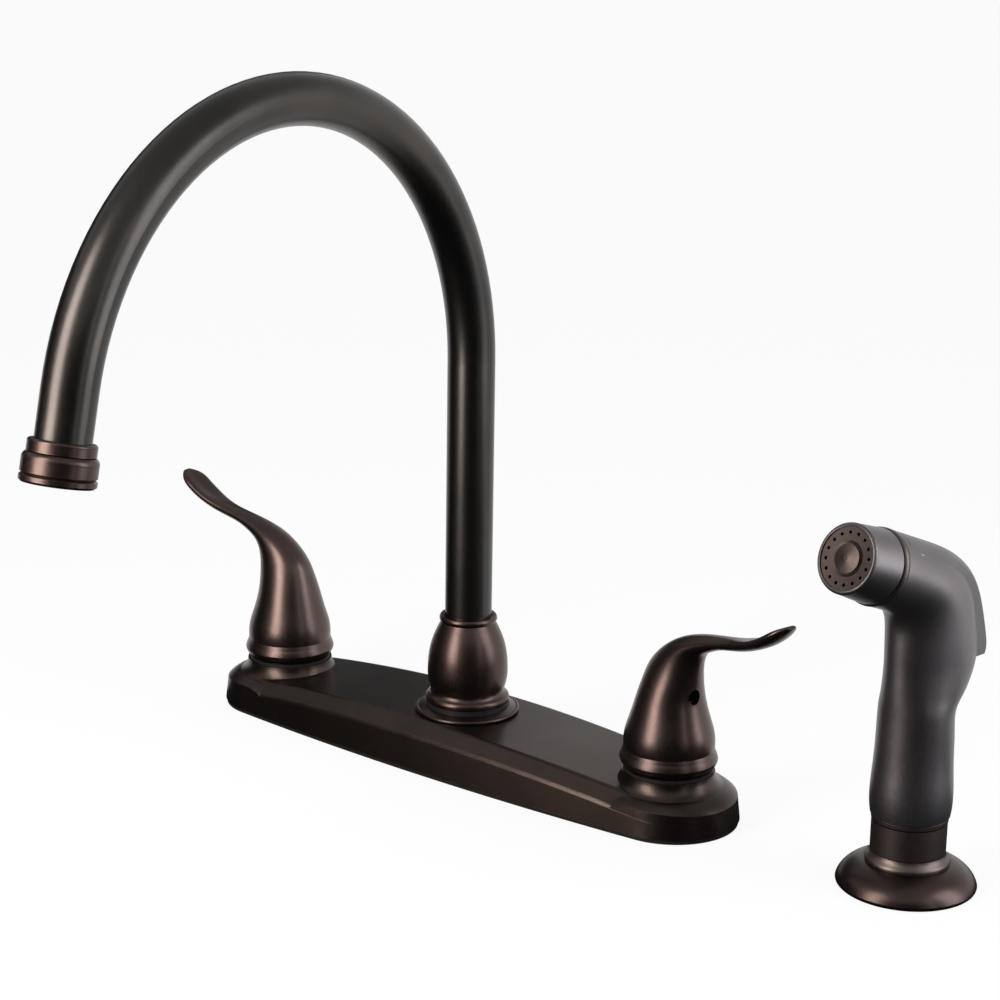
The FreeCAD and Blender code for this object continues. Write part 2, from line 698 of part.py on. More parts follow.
def aerator_housing():
    low = aerator_start()
    high = low + AERATOR_LENGTH
    groove = high - AERATOR_LIP
    shell = turned((AERATOR_BORE, low), (END_COLLAR_R + 0.2, low),
                   (AERATOR_R, low + 2.4, AERATOR_R - 0.3, low + 0.8), (AERATOR_R, groove - 0.5),
                   (AERATOR_R - 0.7, groove), (AERATOR_R + 0.1, groove + 0.7),
                   (AERATOR_R + 0.1, high - 0.8), (AERATOR_R - 0.8, high), (AERATOR_BORE - 1, high),
                   (AERATOR_BORE - 1, high - SCREEN_RECESS), (AERATOR_BORE, high - SCREEN_RECESS))
    return at_outlet(shell)


def aerator_washer():
    low = aerator_start() + AERATOR_THREAD
    return at_outlet(tube(AERATOR_BORE, TUBE_R - TUBE_WALL, low, low + AERATOR_WASHER))


def aerator_insert():
    """Plastic body that mixes the air in."""
    low = aerator_start() + AERATOR_THREAD + AERATOR_WASHER
    high = aerator_start() + AERATOR_LENGTH - SCREEN_RECESS - SCREEN_THICK
    solid = rod(AERATOR_BORE, low, high)
    holes = [rod(0.9, low - 1, high + 1, 6 * math.cos(a), 6 * math.sin(a))
             for a in [i * math.pi / 4 for i in range(8)]]
    return at_outlet(solid.cut(fused(holes)))


def aerator_screen():
    """Slotted outlet disc that rests on the housing's lip."""
    high = aerator_start() + AERATOR_LENGTH - SCREEN_RECESS
    disc = rod(AERATOR_BORE, high - SCREEN_THICK, high)
    slots = []
    for i in range(-3, 4):
        reach = math.sqrt(7.5 ** 2 - (i * 2.2) ** 2)
        slots.append(Part.makeBox(2 * reach, 1.1, 2, V(-reach, i * 2.2 - 0.55, high - 1.5)))
    return at_outlet(disc.cut(Part.makeCompound(slots)))


# ---------------------------------------------------------------- diverter
def seat_level():
    return cartridge_foot() + WATERWAY_R


def diverter_seat():
    low = seat_level()
    return tube(POST_BORE, DIVERTER_SEAT_BORE, low, low + DIVERTER_SEAT_THICK)


def diverter_piston():
    """Falls on its seat; lifts when the sprayer draws the pressure down."""
    seat = seat_level() + DIVERTER_SEAT_THICK
    top = SPOUT_FOOT - SEAT_GAP - DIVERTER_TRAVEL
    guide = DIVERTER_SEAT_BORE - RUN_GAP
    return turned((0, seat - 5), (guide, seat - 5), (guide, seat + EPS), (POST_BORE - 1, seat + EPS),
                  (POST_BORE - 1, seat + 3), (2.2, seat + 5), (2.2, top), (0, top))


# ---------------------------------------------------------------- sprayer guide
def at_sprayer(shape):
    """Sprayer parts are drawn with +X to the back of the sprayer."""
    return moved(spun(shape, 90 - SPRAY_TURN), SPRAY_X, SPRAY_Y)


def spray_flange():
    high = SPRAY_FLANGE_HEIGHT
    foot = SPRAY_FLANGE_R
    bore = GUIDE_SHANK_R + SEAT_GAP / 3
    solid = turned((bore, 0), (foot - 0.7, 0), (foot, 1.6, foot - 0.1, 0.6),
                   [(foot - 0.9, 3.6), (foot - 3.2, 6.2), (foot - 6.6, 8.2), (GUIDE_LIP_R - 0.4, high)],
                   (bore, high))
    return at_sprayer(solid)


def spray_guide():
    """Lipped tube through the deck that the sprayer rests in."""
    low, high = SPRAY_FLANGE_HEIGHT, SPRAY_FLANGE_HEIGHT + GUIDE_LIP_HEIGHT
    solid = turned((GUIDE_BORE, -GUIDE_SHANK_LENGTH), (GUIDE_SHANK_R, -GUIDE_SHANK_LENGTH),
                   (GUIDE_SHANK_R, low), (GUIDE_LIP_R - 0.3, low),
                   (GUIDE_LIP_R - 0.6, low + 2.2, GUIDE_LIP_R, low + 1.0),
                   (HOSE_COLLAR_R, high, HOSE_COLLAR_R + 0.5, high - 1.4), (GUIDE_BORE, high))
    return at_sprayer(solid)


# ---------------------------------------------------------------- sprayer
def collar_foot():
    return SPRAY_FLANGE_HEIGHT + GUIDE_LIP_HEIGHT + SEAT_GAP


def grip_foot():
    return collar_foot() + HOSE_COLLAR_LENGTH + HOSE_RING_LENGTH


def hose_collar():
    """Nut that joins the hose; its spigot stands in the guide."""
    low, high = collar_foot(), collar_foot() + HOSE_COLLAR_LENGTH
    solid = turned((0, low - 22), (GUIDE_BORE - SPIGOT_GAP - 1.0, low - 22),
                   (GUIDE_BORE - SPIGOT_GAP, low - 12), (GUIDE_BORE - SPIGOT_GAP, low),
                   (HOSE_COLLAR_R, low), (HOSE_COLLAR_R, high), (0, high))
    return at_sprayer(solid.cut(fused([rod(HOSE_BORE, low - 23, high + 1)])))


def hose_nipple():
    """Threaded end for the hose, under the collar."""
    low = collar_foot() - 22
    return at_sprayer(tube(HOSE_NIPPLE_R, HOSE_BORE, low - 12, low))


def hose_ring():
    """Narrow washer ring between collar and grip."""
    low = collar_foot() + HOSE_COLLAR_LENGTH
    ring = turned((HOSE_BORE, low), (HOSE_COLLAR_R - 0.5, low), (HOSE_COLLAR_R + 0.2, low + 0.6),
                  (HOSE_COLLAR_R + 0.3, low + HOSE_RING_LENGTH - 0.6),
                  (HOSE_COLLAR_R - 0.3, low + HOSE_RING_LENGTH), (HOSE_BORE, low + HOSE_RING_LENGTH))
    return at_sprayer(ring)


def head_axis():
    a = math.radians(HEAD_TILT)
    return V(-math.cos(a), 0, math.sin(a))


def on_head(distance, up=0.0):
    """A point at this distance behind the spray face, and this far above the head's axis."""
    a = math.radians(HEAD_TILT)
    return V(-HEAD_REACH, 0, HEAD_HEIGHT) - head_axis() * distance + V(math.sin(a), 0, math.cos(a)) * up


def head_root():
    return HEAD_LENGTH + GROOVE_WIDTH + HEAD_RING_LENGTH


def grip_stations():
    """Front point, back point, half width, and how far the lever stands proud of the back."""
    foot = grip_foot()
    rise = HEAD_HEIGHT - foot
    # widths and depths are shares of the grip's radius, heights shares of the way up to the head
    round_part = [(0.967, 0.0000), (1.000, 0.0435), (0.967, 0.1741), (0.930, 0.3201)]
    pistol_part = [((-0.9231, 0.3685), (0.9164, 0.3685), 0.923, 0.000),
                   ((-0.9231, 0.4072), (1.0167, 0.4072), 0.916, 0.000),
                   ((-0.9231, 0.4400), (1.2642, 0.4420), 0.910, 0.000),
                   ((-0.9231, 0.4845), (1.5117, 0.4884), 0.910, 0.000),
                   ((-0.9231, 0.5426), (1.6990, 0.5542), 0.910, 0.947),
                   ((-0.9298, 0.6006), (1.6923, 0.6161), 0.916, 1.000),
                   ((-0.9365, 0.6547), (1.5920, 0.6847), 0.916, 0.895),
                   ((-0.9632, 0.7012), (1.4582, 0.7582), 0.916, 0.772),
                   ((-1.0836, 0.7418), (1.2040, 0.8424), 0.916, 0.596),
                   ((-1.3110, 0.7708), (0.6154, 0.9236), 0.916, 0.421),
                   ((-1.5251, 0.7843), (-0.2274, 0.9894), 0.916, 0.158)]
    stations = [((-r * GRIP_R, foot + z * rise), (r * GRIP_R, foot + z * rise), r * GRIP_R, 0.0)
                for r, z in round_part]
    for front, back, width, proud in pistol_part:
        stations.append(((front[0] * GRIP_R, foot + front[1] * rise),
                         (back[0] * GRIP_R, foot + back[1] * rise), width * GRIP_R, proud * LEVER_PROUD))
    near = on_head(head_root() + 6, -HEAD_RING_R), on_head(head_root() + 6, HEAD_RING_R)
    last = on_head(head_root(), -HEAD_RING_R), on_head(head_root(), HEAD_RING_R)
    for under, top in (near, last):
        stations.append(((under.x, under.z), (top.x, top.z), HEAD_RING_R, 0.0))
    return stations


def lever_line(inward, turn=0.0, ahead=0.0):
    """Points along the lever's outer face, moved inward, and turned about its pin."""
    points = []
    for under, top, _, proud in grip_stations():
        if proud:
            under, top = V(under[0], 0, under[1]), V(top[0], 0, top[1])
            inwards = (under - top).normalize()
            points.append(top + inwards * (inward - proud))
    points.append(on_head(head_root() + LEVER_START - ahead, HEAD_RING_R - inward))
    spin = FreeCAD.Rotation(V(0, 1, 0), turn)
    pin = lever_pin_point()
    return [pin + spin.multVec(p - pin) for p in points]


def lever_pin_point():
    depth = LEVER_SKIN + PIN_R + LEVER_BOSS_R
    return on_head(head_root() + LEVER_START + PIN_BACK, HEAD_RING_R - depth)


def slab(outer, inner, width):
    """Solid between two smooth lines in the XZ plane, this wide across it."""
    curves = []
    for line in (outer, inner):
        curve = Part.BSplineCurve()
        curve.interpolate(line)
        curves.append(curve.toShape())
    ends = [Part.LineSegment(outer[0], inner[0]).toShape(),
            Part.LineSegment(outer[-1], inner[-1]).toShape()]
    face = Part.Face(Part.Wire(Part.__sortEdges__(curves + ends)))
    return moved(face, 0, -width / 2).extrude(V(0, width, 0))


def lever_boss(radius, width):
    pin = lever_pin_point()
    return cross_rod(radius, pin - V(0, width / 2, 0), pin + V(0, width / 2, 0))


def raised_grip():
    """The grip's form with its back lifted to the lever's outer face."""
    stations = []
    for under, top, half_width, proud in grip_stations():
        under, top = V(under[0], 0, under[1]), V(top[0], 0, top[1])
        top = top - (under - top).normalize() * proud
        stations.append(((under.x, under.z), (top.x, top.z), half_width))
    return bent_body(stations)


def spray_lever():
    """Long hollow lever along the back, hinged behind the head."""
    blade = slab(lever_line(-4.0), lever_line(LEVER_DEPTH), LEVER_WIDTH).common(raised_grip())
    roof, mouth = lever_line(LEVER_SKIN), lever_line(LEVER_DEPTH + 4)
    for line in (roof, mouth):
        line[0] += (line[1] - line[0]).normalize() * LEVER_SKIN
    hollow = slab(roof, mouth, LEVER_WIDTH - 2 * LEVER_SKIN)
    boss = lever_boss(LEVER_BOSS_R, LEVER_WIDTH)
    bore = lever_boss(PIN_R + RUN_GAP, LEVER_WIDTH + 2)
    return at_sprayer(blade.cut(hollow).fuse(boss).cut(bore))


def lever_pin():
    return at_sprayer(lever_boss(PIN_R, PIN_LENGTH))


def lever_slot():
    """Room in the grip for the lever, from rest to fully pressed, round the core inside it."""
    width = LEVER_WIDTH + 2 * LEVER_GAP
    floor = LEVER_DEPTH + LEVER_GAP
    rest = slab(lever_line(-8.0, 0, LEVER_GAP), lever_line(floor, 0, LEVER_GAP), width)
    pressed = slab(lever_line(-4.0, LEVER_TRAVEL), lever_line(floor, LEVER_TRAVEL), width)
    core = slab(lever_line(LEVER_SKIN + LEVER_GAP, LEVER_TRAVEL)[1:],
                lever_line(2 * floor, LEVER_TRAVEL)[1:], LEVER_WIDTH - 2 * LEVER_SKIN - 2 * LEVER_GAP)
    return fused([fused([rest, pressed]).cut(core), lever_boss(LEVER_BOSS_R + LEVER_GAP, width)])


# ---------------------------------------------------------------- sprayer valve
def plunger_axis():
    a = math.radians(PLUNGER_TILT)
    return V(-math.cos(a), 0, -math.sin(a))


def on_plunger(distance):
    """A point on the plunger's axis, this far in from the lever's skin."""
    return lever_line(LEVER_SKIN)[2] + plunger_axis() * distance


def plunger_part(radius, start, end, bore=0.0):
    solid = cross_rod(radius, on_plunger(start), on_plunger(end))
    return solid.cut(cross_rod(bore, on_plunger(start - 1), on_plunger(end + 1))) if bore else solid


def plunger_end():
    return SEAT_GAP + PLUNGER_LENGTH


def spray_plunger():
    """Round-ended pin that the lever pushes, with a flange for its spring."""
    flange = plunger_end() - PLUNGER_FLANGE
    nose = Part.makeSphere(PLUNGER_R, on_plunger(SEAT_GAP + PLUNGER_R))
    shaft = plunger_part(PLUNGER_R, SEAT_GAP + PLUNGER_R, plunger_end())
    collar = plunger_part(CHAMBER_R - 2 * SEAT_GAP, flange, plunger_end())
    return at_sprayer(fused([nose, shaft, collar]))


def spray_spring():
    """Compression spring between the plunger and the valve seat."""
    start, length = plunger_end() + SPRING_WIRE_R + RUN_GAP, SPRING_LENGTH - 2 * SPRING_WIRE_R
    radius = CHAMBER_R - SPRING_WIRE_R - SEAT_GAP
    helix = Part.makeHelix(length / SPRING_TURNS, length, radius)
    ring = Part.Wire(Part.makeCircle(SPRING_WIRE_R, V(radius, 0, 0), V(0, 1, 0)))
    spring = Part.Wire(helix).makePipeShell([ring], True, True)
    spring.Placement = FreeCAD.Placement(on_plunger(start),
                                         FreeCAD.Rotation(V(0, 0, 1), plunger_axis()))
    return at_sprayer(spring)


def seat_start():
    return plunger_end() + SPRING_LENGTH + 2 * RUN_GAP


def spray_valve_seat():
    return at_sprayer(plunger_part(CHAMBER_R, seat_start(), seat_start() + 2.0, HOSE_BORE / 2))


def valve_bores():
    flange = plunger_end() - PLUNGER_FLANGE
    return fused([plunger_part(PLUNGER_R + RUN_GAP, 0, flange + 1),
                  plunger_part(CHAMBER_R, flange - RUN_GAP, seat_start() + 3)])


# ---------------------------------------------------------------- sprayer grip and head
def at_head(shape):
    """Head parts are drawn with +Z out of the spray face and Z = 0 at its rim."""
    copy = shape.copy()
    copy.Placement = FreeCAD.Placement(on_head(0), FreeCAD.Rotation(V(0, 0, 1), head_axis()))
    return copy


def spray_grip():
    """Pistol-shaped body with the lever's slot and the water's way through it."""
    way = fused([rod(HOSE_BORE, grip_foot() - 1, on_plunger(seat_start()).z + HOSE_BORE),
                 rod(HEAD_BORE, grip_foot(), elbow().z), Part.makeSphere(HEAD_BORE, elbow()),
                 cross_rod(HEAD_BORE, elbow(), on_head(head_root() - 1)),
                 cross_rod(HEAD_STUB_R, on_head(head_root() + HEAD_STUB), on_head(head_root() - 1))])
    return at_sprayer(bent_body([s[:3] for s in grip_stations()]).cut(
        fused([way, lever_slot(), valve_bores(), lever_boss(PIN_R, PIN_LENGTH)])))


def elbow():
    """Where the grip's axis meets the head's."""
    return V(0, 0, HEAD_HEIGHT - HEAD_REACH * math.tan(math.radians(HEAD_TILT)))


def spray_head():
    """Slightly flared shroud with a rounded rim, and its threaded stub."""
    back = -HEAD_LENGTH
    stub = -head_root() - HEAD_STUB + SEAT_GAP
    solid = turned((HEAD_BORE, stub), (HEAD_STUB_R, stub), (HEAD_STUB_R, back), (HEAD_ROOT_R, back),
                   (HEAD_FACE_R, -1.6), (FACE_R + 0.4, 0, HEAD_FACE_R - 0.3, -0.4), (FACE_R, -0.2),
                   (FACE_R, -FACE_RECESS - FACE_THICK), (HEAD_BORE + 4, back + 6),
                   (HEAD_BORE, back + 4))
    return at_sprayer(at_head(solid))


def head_seal():
    """Black ring in the groove behind the head."""
    low = -HEAD_LENGTH - GROOVE_WIDTH
    return at_sprayer(at_head(tube(HEAD_ROOT_R - 0.7, HEAD_STUB_R, low, -HEAD_LENGTH)))


def head_ring():
    low, high = -head_root(), -HEAD_LENGTH - GROOVE_WIDTH
    ring = turned((HEAD_STUB_R, low), (HEAD_RING_R - 0.2, low), (HEAD_RING_R, low + 0.3),
                  (HEAD_RING_R - 0.4, high, HEAD_RING_R + 0.2, high - 0.9), (HEAD_STUB_R, high))
    return at_sprayer(at_head(ring))


def spray_face():
    """Nozzle disc with its ring of holes."""
    high = -FACE_RECESS
    disc = turned((0, high - FACE_THICK), (FACE_R, high - FACE_THICK), (FACE_R, high),
                  (BUTTON_R + 0.9, high - 0.2), (BUTTON_R, high - 0.6), (0, high - 0.6))
    holes = []
    for i in range(NOZZLE_HOLES):
        a = 2 * math.pi * (i + 0.5) / NOZZLE_HOLES
        holes.append(rod(NOZZLE_HOLE_R, high - FACE_THICK - 1, high + 1,
                         NOZZLE_CIRCLE_R * math.cos(a), NOZZLE_CIRCLE_R * math.sin(a)))
    return at_sprayer(at_head(disc.cut(Part.makeCompound(holes))))


def face_button():
    """Shallow cone in the middle of the face."""
    low = -FACE_RECESS - 0.6
    cone = turned((0, low), (BUTTON_R - 0.1, low), (BUTTON_R - 0.3, low + 0.8), (0.8, low + BUTTON_HEIGHT),
                  (0, low + BUTTON_HEIGHT))
    return at_sprayer(at_head(cone))


# ---------------------------------------------------------------- the whole assembly
def assembly():
    parts = {
        "deck_plate": deck_plate(),
        "base_gasket": base_gasket(),
        "valve_body": valve_body(),
        "spray_outlet_nipple": spray_outlet(),
        "spout_flange": spout_flange(),
        "hub_seal_ring": hub_seal(),
        "spout_hub_nut": spout_hub(),
        "spout_bush": hub_bush(),
        "spout_tube": spout_tube(),
        "spout_stem": spout_stem(),
        "spout_o_rings": spout_o_rings(),
        "spout_end_collar": spout_end_collar(),
        "aerator_housing": aerator_housing(),
        "aerator_washer": aerator_washer(),
        "aerator_insert": aerator_insert(),
        "aerator_screen": aerator_screen(),
        "diverter_seat": diverter_seat(),
        "diverter_piston": diverter_piston(),
        "spray_flange": spray_flange(),
        "spray_guide": spray_guide(),
        "spray_guide_washer": washer(SPRAY_X, GUIDE_SHANK_R, SPRAY_Y),
        "spray_guide_nut": mounting_nut(SPRAY_X, GUIDE_SHANK_R, SPRAY_Y),
        "hose_collar": hose_collar(),
        "hose_nipple": hose_nipple(),
        "hose_ring": hose_ring(),
        "spray_grip": spray_grip(),
        "head_ring": head_ring(),
        "head_seal": head_seal(),
        "spray_head": spray_head(),
        "spray_face": spray_face(),
        "face_button": face_button(),
        "spray_lever": spray_lever(),
        "lever_pin": lever_pin(),
        "spray_plunger": spray_plunger(),
        "spray_spring": spray_spring(),
        "spray_valve_seat": spray_valve_seat(),
    }
    for name, side in (("hot", -1), ("cold", 1)):
        x = side * HANDLE_X
        parts[name + "_inlet_shank"] = inlet_shank(x)
        parts[name + "_washer"] = washer(x, INLET_R)
        parts[name + "_mounting_nut"] = mounting_nut(x, INLET_R)
        parts[name + "_cartridge"] = moved(cartridge(), x)
        parts[name + "_bonnet_nut"] = moved(bonnet_nut(), x)
        parts[name + "_seal_ring"] = moved(collar_seal(), x)
        parts[name + "_stem"] = on_valve(stem(), side)
        parts[name + "_handle"] = on_valve(lever_handle(), side)
        parts[name + "_set_screw"] = on_valve(set_screw(), side)
    return parts


os.makedirs("parts", exist_ok=True)
for node, shape in assembly().items():
    shape.exportStep("parts/" + node + ".step")
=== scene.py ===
import math

import bpy
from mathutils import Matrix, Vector


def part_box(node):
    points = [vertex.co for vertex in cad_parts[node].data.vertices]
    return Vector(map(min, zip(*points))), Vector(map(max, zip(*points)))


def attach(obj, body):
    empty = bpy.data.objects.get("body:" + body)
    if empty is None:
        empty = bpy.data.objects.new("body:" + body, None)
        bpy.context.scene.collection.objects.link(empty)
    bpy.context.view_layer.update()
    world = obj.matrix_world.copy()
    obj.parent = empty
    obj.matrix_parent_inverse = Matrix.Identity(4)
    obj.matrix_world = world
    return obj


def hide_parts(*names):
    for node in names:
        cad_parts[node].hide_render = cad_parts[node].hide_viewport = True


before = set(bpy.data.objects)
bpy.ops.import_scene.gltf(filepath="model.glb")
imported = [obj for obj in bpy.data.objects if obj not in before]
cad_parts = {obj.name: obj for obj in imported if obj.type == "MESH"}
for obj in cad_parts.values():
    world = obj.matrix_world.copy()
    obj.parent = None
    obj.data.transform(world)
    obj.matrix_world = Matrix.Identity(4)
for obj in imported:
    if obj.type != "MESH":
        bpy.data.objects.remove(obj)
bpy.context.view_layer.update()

scene = bpy.context.scene
scene.view_settings.view_transform = "Standard"


# ---------------------------------------------------------------------------
# The studio. The faucet stands on a white table under a white sky, with one
# tall soft box in front on the left and two on the right. Dark cards that only
# the polished skin sees give it the deep bands between its highlights.
# ---------------------------------------------------------------------------
eye = bpy.data.cameras.new("eye")
eye.sensor_width = 36.0
eye.lens = 85.5988
eye_stand = bpy.data.objects.new("eye", eye)
scene.collection.objects.link(eye_stand)
eye_stand.location = (0.593432, -0.710671, 0.357180)
eye_stand.rotation_euler = [math.radians(a) for a in (75.01233, -0.86429, 39.34013)]
scene.camera = eye_stand


def sharp_rays(nodes, links):
    """1 for camera, mirror and glass rays, 0 for soft bounce light."""
    path = nodes.new("ShaderNodeLightPath")
    seen = path.outputs["Is Camera Ray"]
    for kind in ("Is Glossy Ray", "Is Transmission Ray"):
        either = nodes.new("ShaderNodeMath")
        either.operation = "MAXIMUM"
        links.new(seen, either.inputs[0])
        links.new(path.outputs[kind], either.inputs[1])
        seen = either.outputs[0]
    return seen


ROOM_LIGHT = (0.60, 0.61, 0.63, 1)
SKY_ZENITH = (0.46, 0.47, 0.48, 1)
sky = bpy.data.worlds.new("sky")
sky.use_nodes = True
nodes, links = sky.node_tree.nodes, sky.node_tree.links
nodes.clear()
sky_out = nodes.new("ShaderNodeOutputWorld")
room = nodes.new("ShaderNodeBackground")
room.inputs["Color"].default_value = ROOM_LIGHT
backdrop = nodes.new("ShaderNodeBackground")
direction = nodes.new("ShaderNodeTexCoord")
upward = nodes.new("ShaderNodeSeparateXYZ")
links.new(direction.outputs["Generated"], upward.inputs[0])
fade = nodes.new("ShaderNodeValToRGB")
fade.color_ramp.elements[0].position = 0.30
fade.color_ramp.elements[0].color = (1, 1, 1, 1)
fade.color_ramp.elements[1].position = 0.62
fade.color_ramp.elements[1].color = SKY_ZENITH
links.new(upward.outputs["Z"], fade.inputs[0])
links.new(fade.outputs[0], backdrop.inputs["Color"])
either_sky = nodes.new("ShaderNodeMixShader")
links.new(sharp_rays(nodes, links), either_sky.inputs[0])
links.new(room.outputs[0], either_sky.inputs[1])
links.new(backdrop.outputs[0], either_sky.inputs[2])
links.new(either_sky.outputs[0], sky_out.inputs["Surface"])
scene.world = sky

TABLE_Z = -0.0002
TABLE_HALF = 8.0
TABLE_WHITENESS = 0.90          # share of the table that is plain white to the eye
table_mesh = bpy.data.meshes.new("white_table")
table_mesh.from_pydata([(x * TABLE_HALF, y * TABLE_HALF, TABLE_Z)
                        for x, y in ((-1, -1), (1, -1), (1, 1), (-1, 1))], [], [(0, 1, 2, 3)])
white_table = bpy.data.objects.new("white_table", table_mesh)
scene.collection.objects.link(white_table)
paint = bpy.data.materials.new("table_paint")
paint.use_nodes = True
nodes, links = paint.node_tree.nodes, paint.node_tree.links
matt = nodes["Principled BSDF"]
matt.inputs["Base Color"].default_value = (0.88, 0.88, 0.88, 1)
matt.inputs["Roughness"].default_value = 0.9
matt.inputs["Specular IOR Level"].default_value = 0.0
white = nodes.new("ShaderNodeEmission")
white.inputs["Color"].default_value = (1, 1, 1, 1)
share = nodes.new("ShaderNodeMath")
share.operation = "MULTIPLY"
share.inputs[1].default_value = TABLE_WHITENESS
links.new(sharp_rays(nodes, links), share.inputs[0])
either_table = nodes.new("ShaderNodeMixShader")
links.new(share.outputs[0], either_table.inputs[0])
links.new(matt.outputs[0], either_table.inputs[1])
links.new(white.outputs[0], either_table.inputs[2])
links.new(either_table.outputs[0], nodes["Material Output"].inputs["Surface"])
table_mesh.materials.append(paint)


def soft_box(name, place, target, wide, tall, glow, tint):
    """A soft box at place that faces target; glow is how bright its cloth is."""
    lamp = bpy.data.lights.new(name, "AREA")
    lamp.shape = "RECTANGLE"
    lamp.size, lamp.size_y = wide, tall
    lamp.energy = glow * math.pi * wide * tall
    lamp.color = tint
    stand = bpy.data.objects.new(name, lamp)
    scene.collection.objects.link(stand)
    stand.location = place
    aim = Vector(target) - Vector(place)
    stand.rotation_euler = aim.to_track_quat("-Z", "Y").to_euler()


soft_box("left_box", (-0.07, -0.60, 0.34), (0.0, 0.0, 0.26), 0.24, 0.66, 10.0, (1.0, 0.92, 0.88))
soft_box("right_box", (0.70, 0.20, 0.30), (0.14, 0.0, 0.16), 0.34, 0.62, 4.2, (0.93, 0.96, 1.0))
soft_box("near_box", (0.95, -0.22, 0.36), (0.05, 0.0, 0.22), 0.08, 0.72, 3.0, (1.0, 1.0, 1.0))


def dark_card(name, points, faces, shade):
    """A card that lamps and bounce light pass by: only reflections show it."""
    mesh = bpy.data.meshes.new(name)
    mesh.from_pydata(points, [], faces)
    cloth = bpy.data.materials.new(name)
    cloth.use_nodes = True
    felt = cloth.node_tree.nodes["Principled BSDF"]
    felt.inputs["Base Color"].default_value = shade
    felt.inputs["Roughness"].default_value = 1.0
    felt.inputs["Specular IOR Level"].default_value = 0.0
    mesh.materials.append(cloth)
    card = bpy.data.objects.new(name, mesh)
    scene.collection.objects.link(card)
    card.visible_camera = card.visible_shadow = card.visible_diffuse = False


CARD_PANELS = 16


def card_foot(first, last, reach):
    """Points on an arc round the table's middle, between two bearings in degrees."""
    bearings = [math.radians(first + (last - first) * i / CARD_PANELS) for i in range(CARD_PANELS + 1)]
    return [(reach * math.cos(a), reach * math.sin(a)) for a in bearings]


def standing_card(name, foot, low, high, shade):
    """A curved card that stands along the arc of its foot."""
    points = [(x, y, low) for x, y in foot] + [(x, y, high) for x, y in foot]
    top = len(foot)
    dark_card(name, points, [(i, i + 1, i + 1 + top, i + top) for i in range(CARD_PANELS)], shade)


BLACK_FELT = (0.02, 0.022, 0.025, 1)
GREY_FELT = (0.03, 0.032, 0.035, 1)
MAT_Z = TABLE_Z / 2
front_foot = card_foot(-175, 26, 1.4)
standing_card("front_card", front_foot, MAT_Z, 0.75, BLACK_FELT)
standing_card("back_card", card_foot(128, 185, 1.5), 0.10, 0.95, GREY_FELT)
dark_card("front_mat", [(0, 0, MAT_Z)] + [(x, y, MAT_Z) for x, y in front_foot],
          [(0, i + 1, i + 2) for i in range(CARD_PANELS)], BLACK_FELT)


# ---------------------------------------------------------------------------
# Deck plate: a long cast zinc cover with an arched top and a collar under each
# handle, coated in oil-rubbed bronze. Its finish is a thin dark stain over
# copper, cloudy in tone, and rubbed a little lighter on its edges.
# ---------------------------------------------------------------------------
def new_finish(name):
    made = bpy.data.materials.new(name)
    made.use_nodes = True
    tree = made.node_tree
    return made, tree.nodes, tree.links, tree.nodes["Principled BSDF"]


def cloud(nodes, links, scale, detail=4.0):
    """Soft noise in the faucet's own space; scale is in spots per metre."""
    where = nodes.new("ShaderNodeTexCoord")
    noise = nodes.new("ShaderNodeTexNoise")
    noise.inputs["Scale"].default_value = scale
    noise.inputs["Detail"].default_value = detail
    links.new(where.outputs["Object"], noise.inputs["Vector"])
    return noise.outputs["Fac"]


def between(nodes, links, share, first, last, low=0.0, high=1.0):
    """A number that runs from first to last while share runs from low to high."""
    span = nodes.new("ShaderNodeMapRange")
    span.inputs["From Min"].default_value = low
    span.inputs["From Max"].default_value = high
    span.inputs["To Min"].default_value = first
    span.inputs["To Max"].default_value = last
    links.new(share, span.inputs["Value"])
    return span.outputs["Result"]


def blended(nodes, links, share, first, last):
    """A colour between two others; either may be a plain colour or a socket."""
    mix = nodes.new("ShaderNodeMix")
    mix.data_type = "RGBA"
    links.new(share, mix.inputs[0])
    for socket, colour in ((mix.inputs[6], first), (mix.inputs[7], last)):
        if isinstance(colour, tuple):
            socket.default_value = (*colour, 1)
        else:
            links.new(colour, socket)
    return mix.outputs[2]


def worn_edges(nodes, links, reach):
    """1 on the sharp edges of a piece, 0 on its flats and slow curves."""
    rounded = nodes.new("ShaderNodeBevel")
    rounded.samples = 6
    rounded.inputs["Radius"].default_value = reach
    facing = nodes.new("ShaderNodeNewGeometry")
    agree = nodes.new("ShaderNodeVectorMath")
    agree.operation = "DOT_PRODUCT"
    links.new(rounded.outputs["Normal"], agree.inputs[0])
    links.new(facing.outputs["Normal"], agree.inputs[1])
    return between(nodes, links, agree.outputs["Value"], 1.0, 0.0, 0.86, 0.985)


def grained(nodes, links, skin, height, depth, strength):
    """Tiny unevenness of a coat; depth is in metres."""
    bump = nodes.new("ShaderNodeBump")
    bump.inputs["Strength"].default_value = strength
    bump.inputs["Distance"].default_value = depth
    links.new(height, bump.inputs["Height"])
    links.new(bump.outputs["Normal"], skin.inputs["Normal"])


